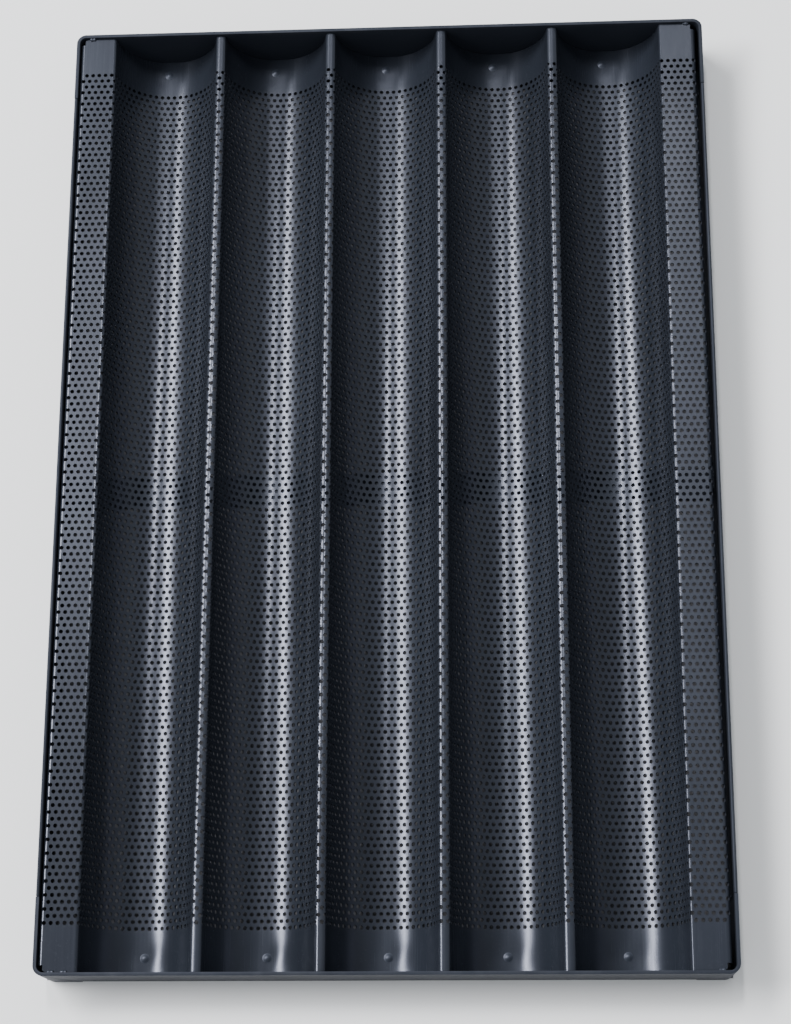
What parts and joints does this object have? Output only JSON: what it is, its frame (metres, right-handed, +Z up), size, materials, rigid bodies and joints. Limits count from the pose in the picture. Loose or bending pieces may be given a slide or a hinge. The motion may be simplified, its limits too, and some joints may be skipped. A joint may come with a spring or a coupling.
{
  "type": "baguette tray",
  "caption": "Rectangular baking tray for long loaves: a perforated corrugated sheet with parallel round-bottomed channels, riveted into a shallow strip frame.",
  "frame": {"origin": "centre of the base, on the surface the tray stands on", "axes": "+X across the channels to the right, +Y along the channels to the back, +Z up"},
  "size_m": [0.4, 0.6, 0.036],
  "materials": {
    "coated_sheet": "satin black non-stick coating on perforated aluminium sheet, slightly blue-grey",
    "coated_strip": "satin black non-stick coating on aluminium strip",
    "rivet_coating": "the same coating over aluminium rivets, rubbed lighter on the heads",
    "weld_coating": "the same coating, thin and lighter over the weld beads"
  },
  "bodies": {
    "root": {"perforated_sheet": "coated_sheet", "front_rail": "coated_strip", "back_rail": "coated_strip", "left_rail": "coated_strip", "right_rail": "coated_strip", "cross_brace": "coated_strip", "rivet_front_1": "rivet_coating", "rivet_front_2": "rivet_coating", "rivet_front_3": "rivet_coating", "rivet_front_4": "rivet_coating", "rivet_front_5": "rivet_coating", "rivet_back_1": "rivet_coating", "rivet_back_2": "rivet_coating", "rivet_back_3": "rivet_coating", "rivet_back_4": "rivet_coating", "rivet_back_5": "rivet_coating", "tack_weld_front_left": "weld_coating", "tack_weld_front_right": "weld_coating", "tack_weld_back_left": "weld_coating", "tack_weld_back_right": "weld_coating", "seam_weld_front_left": "weld_coating", "seam_weld_front_right": "weld_coating", "seam_weld_back_left": "weld_coating", "seam_weld_back_right": "weld_coating", "brace_weld_left": "weld_coating", "brace_weld_right": "weld_coating"}
  },
  "joints": []
}
